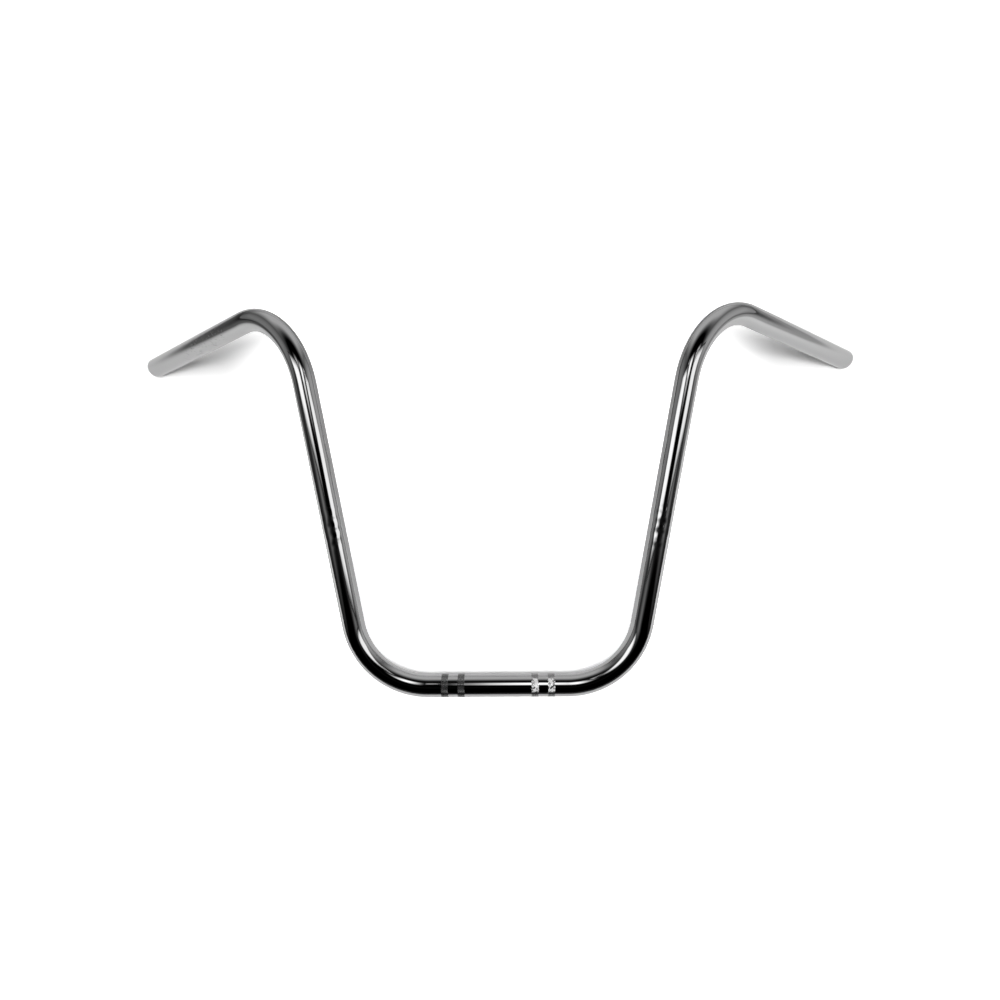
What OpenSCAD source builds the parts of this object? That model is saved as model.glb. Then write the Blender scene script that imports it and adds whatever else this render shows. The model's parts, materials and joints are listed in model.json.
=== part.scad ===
// Ape hanger handlebar: one steel tube, bent four times and chromed.
// It lies as it comes to rest on a floor, on its knurled middle and on both grip ends.
// X runs along the clamp tube, Y from the clamp tube towards the grips, and Z is up.
// The origin is on the floor, in the middle of the space that the bar takes up.

/* [Tube] */
// Outside diameter of the tube
tube_d = 22.2; // [19:0.1:32]
// Wall thickness of the tube
wall = 2; // [1.5:0.1:4]
// Chamfer on the rim of each open end
rim_chamfer = 0.7; // [0.2:0.1:1.2]

/* [Clamp tube] */
// Straight length in the middle, between the lower bends
clamp_len = 136; // [125:1:200]
// Distance between the centres of the two riser clamps
clamp_spacing = 88; // [80:0.1:95]

/* [Knurled bands] */
// Distance between the centres of the two bands under one riser clamp
band_pitch = 16; // [10:0.5:20]
// Width of one band
band_w = 7; // [4:0.5:8]
// Height of a band above the tube
band_h = 0.15; // [0.05:0.05:0.5]

/* [Risers] */
// Radius of the lower bends, at the middle of the tube
lower_bend_r = 74; // [50:1:120]
// Straight length of each riser, between its two bends
riser_len = 237; // [150:1:400]
// Angle by which each riser leans outwards
flare = 9.8; // [0:0.1:20]

/* [Grips] */
// Radius of the upper bends, at the middle of the tube
upper_bend_r = 79; // [50:1:120]
// Straight length of each grip, beyond its bend
grip_len = 203; // [150:1:300]
// Angle by which each grip points back towards the rider
pull_back = 39.4; // [25:0.1:65]
// Angle by which each grip drops towards its end
drop = 8.6; // [0:0.1:25]

/* [Hidden] */
$fn = 96;

tube_r = tube_d / 2;
bore_r = tube_r - wall;
band_r = tube_r + band_h;

// Each straight length runs this far into its bends, which are drawn a hair slimmer than
// the straights, so that the two fuse along a clean step instead of grazing each other
lap = 0.5;
bend_relief = 0.02;
// Cutting tools reach this far past the faces that they cut
past = 1;

// The right half in the bar's own frame: X to the right, Y up along the risers
// and Z forwards, from the middle of the clamp tube
lower_turn = 90 - flare;
riser_dir = [sin(flare), cos(flare), 0];
grip_dir = [cos(drop) * cos(pull_back), -sin(drop), -cos(drop) * sin(pull_back)];
upper_turn = acos(riser_dir * grip_dir);

// How far the tube is rolled about the riser before it takes its upper bend
inward = [-cos(flare), sin(flare), 0];
upper_roll = atan2(grip_dir[2], grip_dir * inward);

// Where the straight middle lines would cross, and where the grip ends
lower_corner = [clamp_len / 2 + lower_bend_r * tan(lower_turn / 2), 0, 0];
upper_setback = upper_bend_r * tan(upper_turn / 2);
upper_corner = lower_corner
    + (lower_bend_r * tan(lower_turn / 2) + riser_len + upper_setback) * riser_dir;
grip_end = upper_corner + (upper_setback + grip_len) * grip_dir;

// A direction or point of the bar's own frame once the bar is tilted about its clamp tube
function tilted(p, tilt) =
    [p[0], p[1] * cos(tilt) - p[2] * sin(tilt), p[1] * sin(tilt) + p[2] * cos(tilt)];

// How far a ring round the grip reaches along one axis, where n is the grip's share of that axis
function ring_reach(radius, n) = radius * sqrt(1 - n * n);

// Height above the floor of the lowest point of a grip's rim
function rim_height(tilt) =
    let (end = tilted(grip_end, tilt)[2] + band_r, slope = tilted(grip_dir, tilt)[2])
    min(end - ring_reach(tube_r - rim_chamfer, slope),
        end - rim_chamfer * slope - ring_reach(tube_r, slope));

// The tilt at which the rims touch the floor, by halving the range that holds it
function rest_tilt(low, high, steps) =
    let (mid = (low + high) / 2)
    steps == 0 ? mid
    : rim_height(mid) > 0 ? rest_tilt(low, mid, steps - 1)
    : rest_tilt(mid, high, steps - 1);

tilt = rest_tilt(0, 90, 40);
rear = tilted(grip_end, tilt)[1] - rim_chamfer * tilted(grip_dir, tilt)[1]
    + ring_reach(tube_r, tilted(grip_dir, tilt)[1]);
middle_y = (rear - band_r) / 2;

// A straight length of round bar along Z
module straight(radius, length) {
    translate([0, 0, -lap])
        cylinder(r = radius, h = length + 2 * lap);
}

// A bend that leaves the origin along Z and turns towards X
module bend(radius, bend_r, angle) {
    translate([bend_r, 0, 0])
        rotate([90, 0, 180])
            rotate_extrude(angle = angle)
                translate([bend_r, 0])
                    circle(r = radius - bend_relief);
}

// Carries what comes next to the far end of a straight length
module after_straight(length) {
    translate([0, 0, length])
        children();
}

// Carries what comes next to the far end of a bend
module after_bend(bend_r, angle) {
    translate([bend_r, 0, 0])
        rotate([0, angle, 0])
            translate([-bend_r, 0, 0])
                children();
}

// Half of the bent bar, from the middle of the clamp tube to the end of a grip
module half_path(radius) {
    straight(radius, clamp_len / 2);
    after_straight(clamp_len / 2) {
        bend(radius, lower_bend_r, lower_turn);
        after_bend(lower_bend_r, lower_turn) {
            straight(radius, riser_len);
            after_straight(riser_len) rotate([0, 0, upper_roll]) {
                bend(radius, upper_bend_r, upper_turn);
                after_bend(upper_bend_r, upper_turn)
                    children();
            }
        }
    }
}

// The outside of a grip, with its rim chamfered
module grip() {
    translate([0, 0, -lap])
        cylinder(r = tube_r, h = lap + grip_len - rim_chamfer);
    after_straight(grip_len - rim_chamfer)
        cylinder(r1 = tube_r, r2 = tube_r - rim_chamfer, h = rim_chamfer);
}

// Both halves, from one half that starts along Z
module both_halves() {
    for (side = [0, 1])
        mirror([side, 0, 0])
            rotate([90, 0, 90])
                children();
}

// Two narrow knurled bands under each riser clamp
module knurled_bands() {
    for (clamp = [-1, 1], band = [-1, 1])
        translate([clamp * clamp_spacing / 2 + band * band_pitch / 2, 0, 0])
            rotate([0, 90, 0])
                cylinder(r = band_r, h = band_w, center = true);
}

module handlebar() {
    color("silver")
        translate([0, -middle_y, band_r])
            rotate([tilt, 0, 0])
                difference() {
                    union() {
                        both_halves() half_path(tube_r) grip();
                        knurled_bands();
                    }
                    both_halves() half_path(bore_r) straight(bore_r, grip_len + past);
                }
}

handlebar();
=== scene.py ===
"""An ape hanger handlebar of chromed steel tube, dressed for a studio picture."""

import json
import math

import bmesh
import bpy
from mathutils import Matrix, Vector


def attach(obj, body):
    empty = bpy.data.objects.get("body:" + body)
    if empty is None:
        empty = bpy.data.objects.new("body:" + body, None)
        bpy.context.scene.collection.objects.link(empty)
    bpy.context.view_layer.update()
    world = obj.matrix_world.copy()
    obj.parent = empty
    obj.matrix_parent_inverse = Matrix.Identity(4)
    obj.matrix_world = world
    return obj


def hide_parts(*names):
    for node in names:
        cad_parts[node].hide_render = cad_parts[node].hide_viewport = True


bl_info = {
    "name": "Ape hanger handlebar",
    "version": (1, 0, 0),
    "blender": (4, 5, 0),
    "location": "3D View > Sidebar > Handlebar",
    "description": "A bent and chromed handlebar tube with knurled clamp bands, in a small studio",
    "category": "Object",
}

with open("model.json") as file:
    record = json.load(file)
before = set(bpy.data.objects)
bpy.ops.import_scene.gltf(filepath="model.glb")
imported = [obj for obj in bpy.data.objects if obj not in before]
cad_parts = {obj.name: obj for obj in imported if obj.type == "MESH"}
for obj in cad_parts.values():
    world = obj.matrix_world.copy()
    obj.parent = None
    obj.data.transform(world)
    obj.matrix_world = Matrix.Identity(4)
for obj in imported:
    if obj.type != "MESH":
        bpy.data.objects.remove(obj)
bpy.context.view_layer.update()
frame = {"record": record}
mounts = {m["name"]: m for m in frame["record"]["mounts"]}
clamp_middle = Vector(mounts["riser_clamp_right"]["pos_m"])
RIGHT = Vector((1, 0, 0))
GRIP_WAY = Vector(mounts["grip_right"]["axis"]).normalized()
# Vertices that are closer than this count as one
TOUCHING = 1e-6
# Within a hair's breadth of a plane, a vertex lies in it
HAIR = 1e-5
# Depth of the bumps in the chrome plate and in the bare steel
PLATE_DEPTH, STEEL_DEPTH = 0.00012, 0.0001


# Sizes that a user would change

class TubeSizes(bpy.types.PropertyGroup):
    """The bent tube, as in the solid model"""

    diameter: bpy.props.FloatProperty(
        name="Diameter", description="Outside diameter of the tube",
        default=0.0222, min=0.01, subtype="DISTANCE")
    wall: bpy.props.FloatProperty(
        name="Wall", description="Thickness of the tube's wall",
        default=0.002, min=0.0005, subtype="DISTANCE")
    rim_chamfer: bpy.props.FloatProperty(
        name="Rim chamfer", description="Chamfer on the rim of each open end",
        default=0.0007, min=0.0, subtype="DISTANCE")
    clamp_length: bpy.props.FloatProperty(
        name="Clamp tube", description="Straight length between the lower bends",
        default=0.136, min=0.1, subtype="DISTANCE")
    lower_bend: bpy.props.FloatProperty(
        name="Lower bend", description="Radius of the lower bends at the middle of the tube",
        default=0.074, min=0.03, subtype="DISTANCE")
    riser_length: bpy.props.FloatProperty(
        name="Riser", description="Straight length of each riser",
        default=0.237, min=0.1, subtype="DISTANCE")
    flare: bpy.props.FloatProperty(
        name="Flare", description="Angle by which each riser leans outwards",
        default=math.radians(9.8), subtype="ANGLE")
    upper_bend: bpy.props.FloatProperty(
        name="Upper bend", description="Radius of the upper bends at the middle of the tube",
        default=0.079, min=0.03, subtype="DISTANCE")
    grip_length: bpy.props.FloatProperty(
        name="Grip", description="Straight length of each grip",
        default=0.203, min=0.1, subtype="DISTANCE")
    pull_back: bpy.props.FloatProperty(
        name="Pull-back", description="Angle by which each grip points back, as in the solid model",
        default=math.radians(39.4), subtype="ANGLE")
    drop: bpy.props.FloatProperty(
        name="Drop", description="Angle by which each grip drops, as in the solid model",
        default=math.radians(8.6), subtype="ANGLE")
    sides: bpy.props.IntProperty(
        name="Sides", description="Number of faces round the tube", default=96, min=24)
    bend_steps: bpy.props.IntProperty(
        name="Bend steps", description="Number of steps along each bend", default=30, min=8)


class KnurlSizes(bpy.types.PropertyGroup):
    """The knurled bands under the riser clamps"""

    pitch: bpy.props.FloatProperty(
        name="Band pitch", description="Distance between the two bands of one clamp",
        default=0.016, min=0.008, subtype="DISTANCE")
    width: bpy.props.FloatProperty(
        name="Band width", description="Width of one band",
        default=0.007, min=0.002, subtype="DISTANCE")
    crest: bpy.props.FloatProperty(
        name="Crest", description="Height of the teeth's crests above the tube",
        default=0.00015, min=0.0, subtype="DISTANCE")
    root: bpy.props.FloatProperty(
        name="Root", description="Height of the grooves between the teeth above the tube",
        default=0.00001, subtype="DISTANCE")
    teeth: bpy.props.IntProperty(
        name="Teeth", description="Number of teeth round a band", default=48, min=24)
    rows: bpy.props.IntProperty(
        name="Rows", description="Number of rows of teeth across a band", default=5, min=3)


class FinishColours(bpy.types.PropertyGroup):
    """The plated and bare metal"""

    chrome: bpy.props.FloatVectorProperty(
        name="Chrome", description="Reflected colour of the polished chrome plate",
        default=(0.555, 0.555, 0.557), size=3, min=0, max=1, subtype="COLOR")
    bare_steel: bpy.props.FloatVectorProperty(
        name="Bare steel", description="Colour of the unplated inside of the tube",
        default=(0.2, 0.195, 0.19), size=3, min=0, max=1, subtype="COLOR")


class StudioSettings(bpy.types.PropertyGroup):
    """The camera, the lamps and the floor"""

    focal_length: bpy.props.FloatProperty(
        name="Focal length",
        description="Focal length of the camera on a 36 mm sensor, in millimetres",
        default=25.2, min=10)
    distance: bpy.props.FloatProperty(
        name="Distance", description="Distance from the camera to the point that it looks at",
        default=0.77812, min=0.2, subtype="DISTANCE")
    pitch: bpy.props.FloatProperty(
        name="Pitch", description="Angle by which the camera looks down",
        default=1.16805, subtype="ANGLE")
    yaw: bpy.props.FloatProperty(
        name="Yaw",
        description="Angle by which the camera stands to the right of the middle",
        default=0.038786, subtype="ANGLE")
    roll: bpy.props.FloatProperty(
        name="Roll", description="Angle by which the camera is rolled",
        default=-0.04485, subtype="ANGLE")
    aim: bpy.props.FloatVectorProperty(
        name="Aim",
        description="Point on the floor that the camera looks at, from under the clamp tube",
        default=(0.002116, 0.202675, 0.0), size=3, subtype="TRANSLATION")
    softbox: bpy.props.FloatProperty(
        name="Softbox",
        description="Brightness of the softboxes in the chrome, where a white card is 1",
        default=2.2, min=0)
    fill: bpy.props.FloatProperty(
        name="Fill", description="Power of the broad lamp that lights the floor",
        default=215.0, min=0, unit="POWER")


# Nodes as Python expressions

class Wire:
    """A node's output that takes part in sums, each of which adds its own Math node."""

    def __init__(self, graph, socket):
        self.graph, self.socket = graph, socket

    def math(self, operation, *values):
        return self.graph.math(operation, *values)

    def __add__(self, other): return self.math("ADD", self, other)
    def __radd__(self, other): return self.math("ADD", other, self)
    def __sub__(self, other): return self.math("SUBTRACT", self, other)
    def __rsub__(self, other): return self.math("SUBTRACT", other, self)
    def __mul__(self, other): return self.math("MULTIPLY", self, other)
    def __rmul__(self, other): return self.math("MULTIPLY", other, self)
    def __truediv__(self, other): return self.math("DIVIDE", self, other)
    def __gt__(self, other): return self.math("GREATER_THAN", self, other)
    def __abs__(self): return self.math("ABSOLUTE", self)


class Graph:
    """The node tree of one material or of the world."""

    def __init__(self, owner):
        owner.use_nodes = True
        self.owner, self.tree = owner, owner.node_tree
        self.tree.nodes.clear()

    def add(self, kind, settings=None, values=None, output=0):
        """Adds a node, sets it, fills its sockets with values or links and returns one output."""
        node = self.tree.nodes.new("ShaderNode" + kind)
        for name, value in (settings or {}).items():
            setattr(node, name, value)
        for name, value in (values or {}).items():
            if isinstance(value, Wire):
                self.tree.links.new(value.socket, node.inputs[name])
            else:
                node.inputs[name].default_value = value
        return Wire(self, node.outputs[output]) if len(node.outputs) else None

    def split(self, vector):
        """The X, Y and Z of a vector."""
        parts = self.add("SeparateXYZ", values={0: vector}).socket.node.outputs
        return [Wire(self, part) for part in parts]

    def place(self):
        """Object coordinates, and the same split into X, Y and Z."""
        point = self.add("TexCoord", output="Object")
        return point, self.split(point)

    def grey(self, value):
        return self.add("CombineColor", {}, {0: value, 1: value, 2: value})

    def math(self, operation, *values):
        return self.add("Math", {"operation": operation}, dict(enumerate(values)))

    def ramp(self, value, start, end):
        """A smooth step of a value, which goes from 0 at the first number to 1 at the second."""
        return self.add("MapRange", {"interpolation_type": "SMOOTHSTEP", "clamp": True},
                        {"Value": value, "From Min": start, "From Max": end})

    def noise(self, point, scale, detail, roughness=0.5):
        return self.add("TexNoise", {}, {
            "Vector": point, "Scale": scale, "Detail": detail, "Roughness": roughness})

    def stretched(self, point, x, y, z):
        return self.add("VectorMath", {"operation": "MULTIPLY"}, {0: point, 1: (x, y, z)})

    def blend(self, share, first, second):
        """A colour between two colours."""
        return self.add("Mix", {"data_type": "RGBA"}, {0: share, 6: first, 7: second}, output=2)


# Metal finishes

def tone(colour, share=1.0):
    """A colour made darker by a share, with the alpha that a socket wants."""
    return (*[share * channel for channel in colour], 1.0)


def plate_surface(graph, point):
    """The haze, the roughness and the waviness of the chrome plate."""
    haze = graph.noise(point, scale=55.0, detail=3.0)
    polish = graph.noise(point, scale=900.0, detail=2.0)
    roughness = 0.02 + 0.035 * haze + 0.02 * polish
    waves = graph.noise(point, scale=26.0, detail=1.0, roughness=0.4)
    return haze, roughness, waves


def finish_metal(graph, tint, metallic, roughness, height, depth, strength=1.0):
    """Joins a metal's parts in one shader and returns its material."""
    bump = graph.add("Bump", {}, {"Strength": strength, "Distance": depth, "Height": height})
    shader = graph.add("BsdfPrincipled", {}, {
        "Base Color": tint, "Metallic": metallic, "Roughness": roughness, "Normal": bump})
    graph.add("OutputMaterial", {}, {"Surface": shader})
    return graph.owner


def polished_chrome(colours, tube):
    """Bright chrome with a faint haze, a slight waviness and a few marks."""
    graph = Graph(bpy.data.materials.new("polished chrome"))
    point, (x, y, z) = graph.place()
    haze, roughness, waves = plate_surface(graph, point)
    # Half-way up both risers the plate is rippled, between these distances along the riser
    starts, ends = (-0.002, 0.018), (0.045, 0.036)
    way = riser_way(tube)
    along = way.x * abs(x) + way.y * y + way.z * z
    rippled = graph.ramp(along, *starts) * graph.ramp(along, *ends)
    ripple = graph.noise(point, scale=125.0, detail=0.0) - 0.5
    # Hairline scratches run along the left grip, between these places across the bar
    inner, outer = (-0.27, -0.285), (-0.36, -0.33)
    lines = graph.noise(graph.stretched(point, 90.0, 420.0, 900.0), scale=1.0, detail=2.0)
    scratched = (lines > 0.645) * graph.ramp(x, *inner) * graph.ramp(x, *outer)
    tint = graph.blend(haze, tone(colours.chrome, 0.97), tone(colours.chrome))
    tint = graph.blend(0.45 * scratched, tint, tone((0.08, 0.08, 0.08)))
    height = waves + 3.2 * rippled * ripple - 0.1 * scratched
    return finish_metal(graph, tint, 1.0, roughness + 0.25 * scratched, height, PLATE_DEPTH)


def knurled_chrome(colours):
    """Darker chrome on the teeth, with painted shade that makes the left pair darker than the
    right, and painted glints, bright and rough, on top of the right pair of bands.
    """
    graph = Graph(bpy.data.materials.new("knurled chrome"))
    point, (x, y, z) = graph.place()
    haze, roughness, waves = plate_surface(graph, point)
    # The painted glints lie above the tube's middle and not far behind it
    above = graph.ramp(z, clamp_middle.z + 0.007, clamp_middle.z + 0.009)
    before = graph.ramp(y, clamp_middle.y + 0.007, clamp_middle.y + 0.003)
    flecks = graph.ramp(graph.noise(point, scale=420.0, detail=1.0), 0.42, 0.52)
    on_right = x > 0
    painted_glints = on_right * (above * before) * flecks
    # Painted shade and light: the left pair is tinted darker and the right pair lighter
    tint = graph.blend(on_right, tone(colours.chrome, 0.5), tone(colours.chrome, 0.85))
    tint = graph.blend(painted_glints, tint, tone((0.9, 0.9, 0.9)))
    roughness = roughness + 0.03 + 0.05 * haze + 0.25 * painted_glints
    return finish_metal(graph, tint, 1 - 0.35 * painted_glints, roughness, waves, PLATE_DEPTH)


def bare_steel(colours):
    """Dull grey steel for the tube's unplated inside."""
    graph = Graph(bpy.data.materials.new("bare steel"))
    point = graph.place()[0]
    stain = graph.noise(point, scale=120.0, detail=4.0)
    tint = graph.blend(stain, tone(colours.bare_steel, 0.6), tone(colours.bare_steel))
    grain = graph.noise(point, scale=700.0, detail=3.0)
    return finish_metal(graph, tint, 0.8, 0.42 + 0.2 * stain, grain, STEEL_DEPTH, strength=0.6)


# Shaping by hand

def riser_way(sizes):
    """The way that the right riser points, once the bar is tilted about its clamp tube."""
    grip_up = -math.sin(sizes.drop)
    grip_forwards = -math.cos(sizes.drop) * math.sin(sizes.pull_back)
    tilt = math.atan2(GRIP_WAY.z, GRIP_WAY.y) - math.atan2(grip_forwards, grip_up)
    out, up = math.sin(sizes.flare), math.cos(sizes.flare)
    return Vector((out, up * math.cos(tilt), up * math.sin(tilt)))


def start_piece():
    """Nothing else stays selected while a piece is modelled."""
    if bpy.context.object and bpy.context.object.mode != "OBJECT":
        bpy.ops.object.mode_set(mode="OBJECT")
    bpy.ops.object.select_all(action="DESELECT")


def finish_piece(name, *materials):
    """Applies the piece's place, shades it and ties it to the frame."""
    piece = bpy.context.object
    bpy.ops.object.mode_set(mode="OBJECT")
    bpy.ops.object.transform_apply(location=True, rotation=True, scale=True)
    piece.name = piece.data.name = name
    for material in materials:
        piece.data.materials.append(material)
    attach(piece, "root")
    return piece


def selected_middle():
    """The middle of the selected vertices, in edit mode."""
    mesh = bmesh.from_edit_mesh(bpy.context.object.data)
    chosen = [v.co.copy() for v in mesh.verts if v.select]
    return sum(chosen, Vector()) / len(chosen)


def select_edges(test):
    """Selects only the edges that pass a test, in edit mode."""
    bpy.ops.mesh.select_mode(type="EDGE")
    bpy.ops.mesh.select_all(action="DESELECT")
    mesh = bmesh.from_edit_mesh(bpy.context.object.data)
    found = 0
    for edge in mesh.edges:
        if test(edge):
            edge.select = True
            found += 1
    mesh.select_flush_mode()
    bmesh.update_edit_mesh(bpy.context.object.data)
    if not found:
        raise RuntimeError("no edge was found to select")


def run_straight(way, length):
    """Extrudes the selected ring along a straight."""
    bpy.ops.mesh.extrude_region_move(TRANSFORM_OT_translate={"value": way * length})


def run_bend(way, towards, radius, steps):
    """Spins the selected ring round from one direction to another."""
    # Spin turns clockwise about its axis, so the axis is turned round for it
    axis = way.cross(towards).normalized()
    middle = selected_middle() + axis.cross(way).normalized() * radius
    bpy.ops.mesh.spin(steps=steps, angle=way.angle(towards), center=middle, axis=-axis)


def run_half(sizes, radius, chamfer):
    """Takes the selected ring from the middle of the clamp tube to the end of the right grip."""
    riser = riser_way(sizes)
    run_straight(RIGHT, sizes.clamp_length / 2)
    run_bend(RIGHT, riser, sizes.lower_bend, sizes.bend_steps)
    run_straight(riser, sizes.riser_length)
    run_bend(riser, GRIP_WAY, sizes.upper_bend, sizes.bend_steps)
    run_straight(GRIP_WAY, sizes.grip_length - chamfer)
    if chamfer:
        run_straight(GRIP_WAY, chamfer)
        share = 1 - chamfer / radius
        bpy.ops.transform.resize(value=(share, share, share), center_override=selected_middle())


class HANDLEBAR_OT_tube(bpy.types.Operator):
    """Models the bent tube with its bore and chamfered rims, in place of the plain solid"""

    bl_idname = "handlebar.tube"
    bl_label = "Bent tube"
    bl_options = {"REGISTER", "UNDO"}

    def execute(self, context):
        sizes = context.scene.tube_sizes
        radius = sizes.diameter / 2
        start = (0, clamp_middle.y, clamp_middle.z)
        start_piece()
        ring = {"vertices": sizes.sides, "location": start, "rotation": (0, math.pi / 2, 0)}
        bpy.ops.mesh.primitive_circle_add(radius=radius, **ring)
        bpy.ops.object.transform_apply(location=True, rotation=True, scale=True)
        bpy.ops.object.mode_set(mode="EDIT")
        bpy.ops.mesh.select_mode(type="VERT")
        bpy.ops.mesh.select_all(action="SELECT")
        run_half(sizes, radius, sizes.rim_chamfer)
        end = selected_middle()
        outside = len(bmesh.from_edit_mesh(context.object.data).faces)
        bpy.ops.mesh.select_all(action="DESELECT")
        bpy.ops.mesh.primitive_circle_add(radius=radius - sizes.wall, **ring)
        run_half(sizes, radius - sizes.wall, 0)
        # The bore takes the second material
        mesh = bmesh.from_edit_mesh(context.object.data)
        mesh.faces.index_update()
        for face in mesh.faces:
            face.material_index = int(face.index >= outside)
        select_edges(lambda e: e.is_boundary and all(
            abs((v.co - end).dot(GRIP_WAY)) < HAIR for v in e.verts))
        bpy.ops.mesh.bridge_edge_loops()
        bpy.ops.object.mode_set(mode="OBJECT")
        piece = context.object
        mirror = piece.modifiers.new("Left half", "MIRROR")
        mirror.use_axis = (True, False, False)
        mirror.merge_threshold = TOUCHING
        bpy.ops.object.modifier_apply(modifier=mirror.name)
        bpy.ops.object.mode_set(mode="EDIT")
        bpy.ops.mesh.select_all(action="SELECT")
        bpy.ops.mesh.remove_doubles(threshold=TOUCHING)
        bpy.ops.mesh.normals_make_consistent(inside=False)
        bpy.ops.object.mode_set(mode="OBJECT")
        bpy.ops.object.shade_smooth_by_angle(angle=math.radians(25))
        colours = context.scene.finish_colours
        piece = finish_piece("bent_tube", polished_chrome(colours, sizes), bare_steel(colours))
        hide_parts("handlebar")
        return {"FINISHED"}


class HANDLEBAR_OT_knurl(bpy.types.Operator):
    """Models one band of diamond teeth and copies it to its four places on the clamp tube"""

    bl_idname = "handlebar.knurl"
    bl_label = "Knurled bands"
    bl_options = {"REGISTER", "UNDO"}

    def execute(self, context):
        sizes, knurl = context.scene.tube_sizes, context.scene.knurl_sizes
        radius = sizes.diameter / 2
        root = radius + knurl.root
        start_piece()
        bpy.ops.mesh.primitive_cylinder_add(
            vertices=knurl.teeth, radius=root, depth=knurl.width, end_fill_type="NOTHING",
            rotation=(0, math.pi / 2, 0))
        bpy.ops.object.transform_apply(location=True, rotation=True, scale=True)
        bpy.ops.object.mode_set(mode="EDIT")
        select_edges(lambda e: abs(e.verts[0].co.x - e.verts[1].co.x) > knurl.width / 2)
        bpy.ops.mesh.subdivide(number_cuts=knurl.rows - 1)
        # Each square becomes four triangles round a new middle, which pair up as diamonds
        corners = {v.co.copy().freeze() for v in bmesh.from_edit_mesh(context.object.data).verts}
        bpy.ops.mesh.select_mode(type="FACE")
        bpy.ops.mesh.select_all(action="SELECT")
        bpy.ops.mesh.poke(offset=root * (1 - math.cos(math.pi / knurl.teeth)))
        select_edges(lambda e: not e.is_boundary and all(
            v.co.copy().freeze() in corners for v in e.verts))
        bpy.ops.mesh.dissolve_edges(use_verts=False)
        bpy.ops.mesh.select_mode(type="FACE")
        bpy.ops.mesh.select_all(action="DESELECT")
        mesh = bmesh.from_edit_mesh(context.object.data)
        for face in mesh.faces:
            face.select = len(face.verts) == 4
        bmesh.update_edit_mesh(context.object.data)
        groove = 0.12 * knurl.width / knurl.rows
        rise = knurl.crest - knurl.root
        bpy.ops.mesh.inset(thickness=groove, depth=rise, use_individual=True)
        # The band's sides stand a hair outside the teeth and go down into a third of the wall
        for side in (-1, 1):
            select_edges(lambda e: e.is_boundary and all(
                abs(v.co.x - side * knurl.width / 2) < HAIR for v in e.verts))
            run_straight(RIGHT, side * HAIR)
            share = (radius - sizes.wall / 3) / root
            bpy.ops.transform.resize(value=(1, share, share), center_override=(0, 0, 0))
        select_edges(lambda e: e.is_boundary)
        bpy.ops.mesh.bridge_edge_loops()
        bpy.ops.mesh.select_all(action="SELECT")
        bpy.ops.mesh.normals_make_consistent(inside=False)
        bpy.ops.object.mode_set(mode="OBJECT")
        first = context.object
        material = knurled_chrome(context.scene.finish_colours)
        places = [clamp * clamp_middle.x + band * knurl.pitch / 2
                  for clamp in (-1, 1) for band in (-1, 1)]
        # The first three bands are copies, and the modelled one becomes the last
        for letter, x in zip("abcd", places):
            start_piece()
            piece = first
            if x != places[-1]:
                piece = first.copy()
                piece.data = first.data.copy()
                context.collection.objects.link(piece)
            piece.select_set(True)
            context.view_layer.objects.active = piece
            piece.location = (x, clamp_middle.y, clamp_middle.z)
            finish_piece("knurled_band_" + letter, material)
        return {"FINISHED"}


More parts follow.
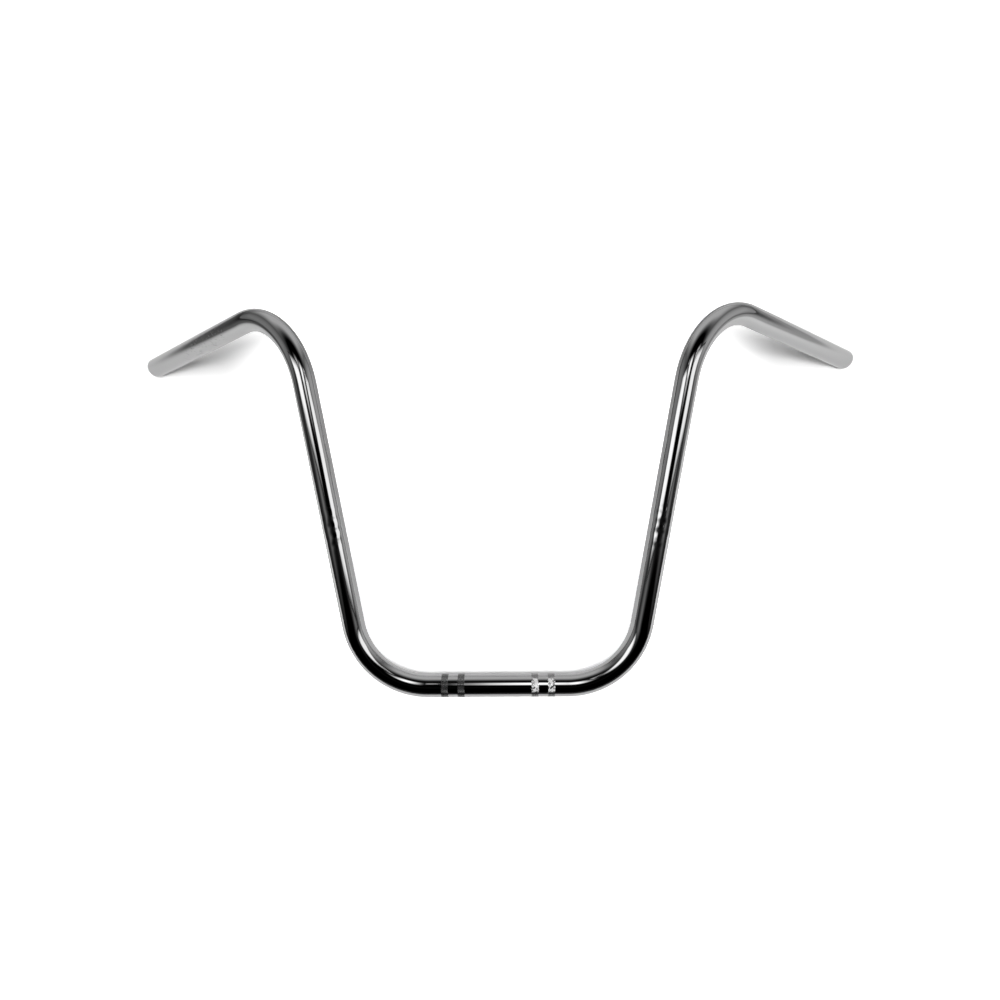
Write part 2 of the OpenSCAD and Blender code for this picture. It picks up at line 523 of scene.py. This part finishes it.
class HANDLEBAR_OT_studio(bpy.types.Operator):
    """Sets up the floor, the room, the softboxes, the lamp and the camera"""

    bl_idname = "handlebar.studio"
    bl_label = "Studio"
    bl_options = {"REGISTER", "UNDO"}

    def execute(self, context):
        scene, studio = context.scene, context.scene.studio
        self.floor(context)
        self.room(scene)
        # Each softbox's height, its edges along X and Y as shares of the height, and its brightness
        for name, height, left, right, front, back, level in (
            ("softbox_middle", 1.48, -0.035, 0.140, -0.25, 0.10, 1.0),
            ("softbox_left", 2.3, -1.17, -0.29, -0.50, -0.05, 0.8),
            ("softbox_right", 2.3, 0.46, 1.50, -0.60, -0.01, 0.7),
            ("softbox_over_right_bend", 2.3, 0.36, 0.58, -0.02, 0.10, 0.9),
            ("softbox_over_left_bend", 2.3, -0.30, -0.08, -0.02, 0.11, 0.4),
        ):
            self.softbox(
                context, name, height, (left, right), (front, back), level * studio.softbox)
        self.fill(context, studio.fill)
        self.camera(context, studio)
        scene.view_settings.view_transform = "Standard"
        return {"FINISHED"}

    def floor(self, context):
        """White paper to the camera. The chrome sees it end in front of the bar and beside it."""
        start_piece()
        bpy.ops.mesh.primitive_plane_add(size=12, location=(0, 0, 0))
        floor = context.object
        floor.name = "floor"
        graph = Graph(bpy.data.materials.new("white paper"))
        x, y, z = graph.place()[1]
        under_clamp = clamp_middle.y
        # What the chrome sees: paper with painted light and shade, which fades out to the left, and
        # halfway to the right
        off_middle = graph.ramp(abs(x), 0.2, 0.34)
        lit_left = graph.ramp(x, -0.90, -0.46)
        dim_right = graph.ramp(x, 0.58, 0.90)
        behind_edge = graph.ramp(y, under_clamp - 0.08, under_clamp - 0.03)
        paper = 0.14 + (0.37 + 0.18 * off_middle) * lit_left
        paper = paper * (1 - 0.5 * dim_right) * (0.03 + 0.97 * behind_edge)
        # Behind the bar the paper runs up into the backdrop, which has a light of its own
        reach = graph.math("SQRT", x * x + y * y)
        straight_back = 1 - graph.ramp(abs(x) / reach, 0.37, 0.89)
        sweep = 0.42 * graph.ramp(y, 0.5, 1.8) * straight_back
        # The camera keeps only the shadows under the grips and in front of the clamp tube, and
        # painted light wipes out the other shadows
        away = graph.ramp(reach, 0.46, 0.75)
        past_clamp = graph.ramp(y, under_clamp, under_clamp + 0.04)
        between_risers = graph.ramp(abs(x), 0.34, 0.25) * past_clamp
        behind_grips = graph.ramp(y, 0.24, 0.29)
        shadow_wiping_glow = 0.08 + away + 0.8 * between_risers + 0.3 * behind_grips
        camera = graph.add("LightPath", output="Is Camera Ray")
        shown = paper + camera * (0.95 - paper)
        glow = sweep + camera * (shadow_wiping_glow - sweep)
        shader = graph.add("BsdfPrincipled", {}, {
            "Base Color": graph.grey(shown), "Roughness": 1.0, "Specular IOR Level": 0.0,
            "Emission Color": graph.grey(glow), "Emission Strength": 1.0})
        graph.add("OutputMaterial", {}, {"Surface": shader})
        floor.data.materials.append(graph.owner)

    def room(self, scene):
        """White to the camera, and for the rest a dim room with a pale backdrop and grey sides."""
        world = scene.world or bpy.data.worlds.new("studio room")
        scene.world = world
        graph = Graph(world)
        # Each mask goes by the direction in which the room is seen
        x, y, z = graph.split(graph.add("TexCoord", output="Generated"))
        to_right = x > 0
        not_in_front, below_top = graph.ramp(y, -0.61, -0.46), graph.ramp(z, 0.88, 0.47)
        backdrop = 0.63 * not_in_front * below_top * (1 - 0.96 * graph.ramp(abs(x), 0.37, 0.89))
        side_level, side_front = 0.28 + 0.24 * to_right, -0.29 - 0.1 * to_right
        sides = side_level * graph.ramp(abs(x), 0.52, 0.98) * graph.ramp(y, side_front, 0.05)
        above_floor = 0.7 + 0.3 * graph.ramp(z, 0.0, 0.12)
        level = graph.math("MAXIMUM", backdrop, sides) * above_floor
        camera = graph.add("LightPath", output="Is Camera Ray")
        seen = camera + (1 - camera) * level
        background = graph.add("Background", {}, {"Color": graph.grey(seen), "Strength": 1.0})
        graph.add("OutputWorld", {}, {"Surface": background})

    def softbox(self, context, name, height, across, along, level):
        """A softbox overhead, which fades towards its edges as real ones do."""
        start_piece()
        middle = [height * sum(edges) / 2 for edges in (across, along)]
        half = [height * (edges[1] - edges[0]) / 2 for edges in (across, along)]
        fade = 0.1 * height
        bpy.ops.mesh.primitive_plane_add(
            size=2, location=(*middle, height), rotation=(math.pi, 0, 0))
        box = context.object
        box.name = name
        bpy.ops.transform.resize(
            value=(half[0] + fade, half[1] + fade, 1), center_override=box.location)
        bpy.ops.object.transform_apply(location=True, rotation=True, scale=True)
        graph = Graph(bpy.data.materials.new(name))
        x, y, z = graph.place()[1]
        by_x, by_y = [graph.ramp(abs(place - centre), reach + fade, reach - fade)
                      for place, centre, reach in zip((x, y), middle, half)]
        glow = by_x * by_y * level
        shader = graph.add("Emission", {}, {"Color": graph.grey(glow), "Strength": 1.0})
        graph.add("OutputMaterial", {}, {"Surface": shader})
        box.data.materials.append(graph.owner)
        box.visible_camera = box.visible_diffuse = False

    def fill(self, context, strength):
        """A broad lamp overhead, a little in front, that lights the paper and isn't mirrored."""
        start_piece()
        lean = math.atan(0.4)
        bpy.ops.object.light_add(type="AREA", location=(0, -1.25, 3.05), rotation=(lean, 0, 0))
        lamp = context.object
        lamp.name = lamp.data.name = "fill"
        lamp.data.shape = "DISK"
        lamp.data.size = 1.6
        lamp.data.energy = strength
        lamp.visible_glossy = False

    def camera(self, context, studio):
        """The camera, on a sphere round the point that it looks at."""
        start_piece()
        bpy.ops.object.camera_add()
        camera = context.object
        camera.name = "camera"
        camera.data.sensor_width = 36
        camera.data.lens = studio.focal_length
        camera.data.clip_start = 0.01
        pitch, yaw, roll = studio.pitch, studio.yaw, studio.roll
        back = Vector((math.sin(yaw) * math.cos(pitch), -math.cos(yaw) * math.cos(pitch),
                       math.sin(pitch)))
        turn = (Matrix.Rotation(yaw, 4, "Z") @ Matrix.Rotation(math.pi / 2 - pitch, 4, "X")
                @ Matrix.Rotation(roll, 4, "Z"))
        aim = Vector(studio.aim) + Vector((0, clamp_middle.y, 0))
        camera.matrix_world = Matrix.Translation(aim + back * studio.distance) @ turn
        context.scene.camera = camera


class HANDLEBAR_PT_panel(bpy.types.Panel):
    """Lists the handlebar's pieces and sizes"""

    bl_label = "Handlebar"
    bl_idname = "HANDLEBAR_PT_panel"
    bl_space_type = "VIEW_3D"
    bl_region_type = "UI"
    bl_category = "Handlebar"

    def draw(self, context):
        layout = self.layout
        for operator in (HANDLEBAR_OT_tube, HANDLEBAR_OT_knurl, HANDLEBAR_OT_studio):
            layout.operator(operator.bl_idname)
        for name in GROUPS:
            group = getattr(context.scene, name)
            box = layout.box()
            box.label(text=name.replace("_", " ").capitalize())
            for prop in group.bl_rna.properties:
                if prop.identifier not in ("rna_type", "name"):
                    box.prop(group, prop.identifier)


GROUPS = {
    "tube_sizes": TubeSizes,
    "knurl_sizes": KnurlSizes,
    "finish_colours": FinishColours,
    "studio": StudioSettings,
}
CLASSES = (
    *GROUPS.values(), HANDLEBAR_OT_tube, HANDLEBAR_OT_knurl, HANDLEBAR_OT_studio,
    HANDLEBAR_PT_panel)


def register():
    for cls in CLASSES:
        bpy.utils.register_class(cls)
    for name, group in GROUPS.items():
        setattr(bpy.types.Scene, name, bpy.props.PointerProperty(type=group))


def unregister():
    for name in GROUPS:
        delattr(bpy.types.Scene, name)
    for cls in reversed(CLASSES):
        bpy.utils.unregister_class(cls)


def main():
    register()
    bpy.ops.handlebar.tube()
    bpy.ops.handlebar.knurl()
    bpy.ops.handlebar.studio()


if __name__ == "__main__":
    main()
